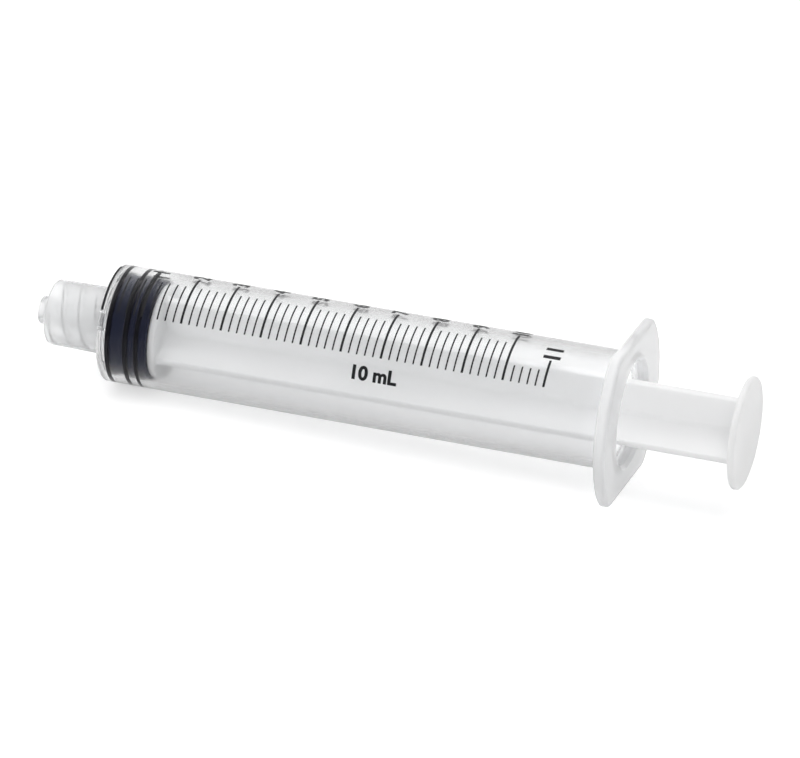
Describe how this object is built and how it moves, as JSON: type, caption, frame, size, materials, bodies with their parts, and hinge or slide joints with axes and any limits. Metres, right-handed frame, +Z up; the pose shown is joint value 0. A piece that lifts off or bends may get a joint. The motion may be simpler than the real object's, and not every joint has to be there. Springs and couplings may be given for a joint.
{
  "type": "disposable syringe",
  "caption": "Clear plastic syringe with a luer-lock end, oblong finger flange, graduated barrel, black rubber gasket and a cross-ribbed plunger with a thumb disc.",
  "frame": {"origin": "centre of the luer nozzle's tip, on the syringe's axis", "axes": "+X along the axis from the nozzle to the thumb disc, +Z up from the flange's lower flat to its upper flat, +Y across the flange's round ends"},
  "size_m": [0.1034, 0.0278, 0.022],
  "materials": {
    "barrel_plastic": "translucent, glossy outside",
    "gasket_rubber": "smooth, silicone-wetted",
    "plunger_plastic": "milky satin",
    "print_ink": "printed ink"
  },
  "bodies": {
    "barrel": {"barrel": "barrel_plastic"},
    "gasket": {"gasket": "gasket_rubber"},
    "plunger": {"plunger": "plunger_plastic"}
  },
  "joints": [
    {"name": "plunger_slide", "type": "slide", "parent": "barrel", "child": "gasket", "axis": [1, 0, 0], "range_m": [0, 0.0655]},
    {"name": "plunger_turn", "type": "hinge", "parent": "gasket", "child": "plunger", "pos_m": [0.015, 0, 0], "axis": [1, 0, 0], "continuous": true}
  ]
}
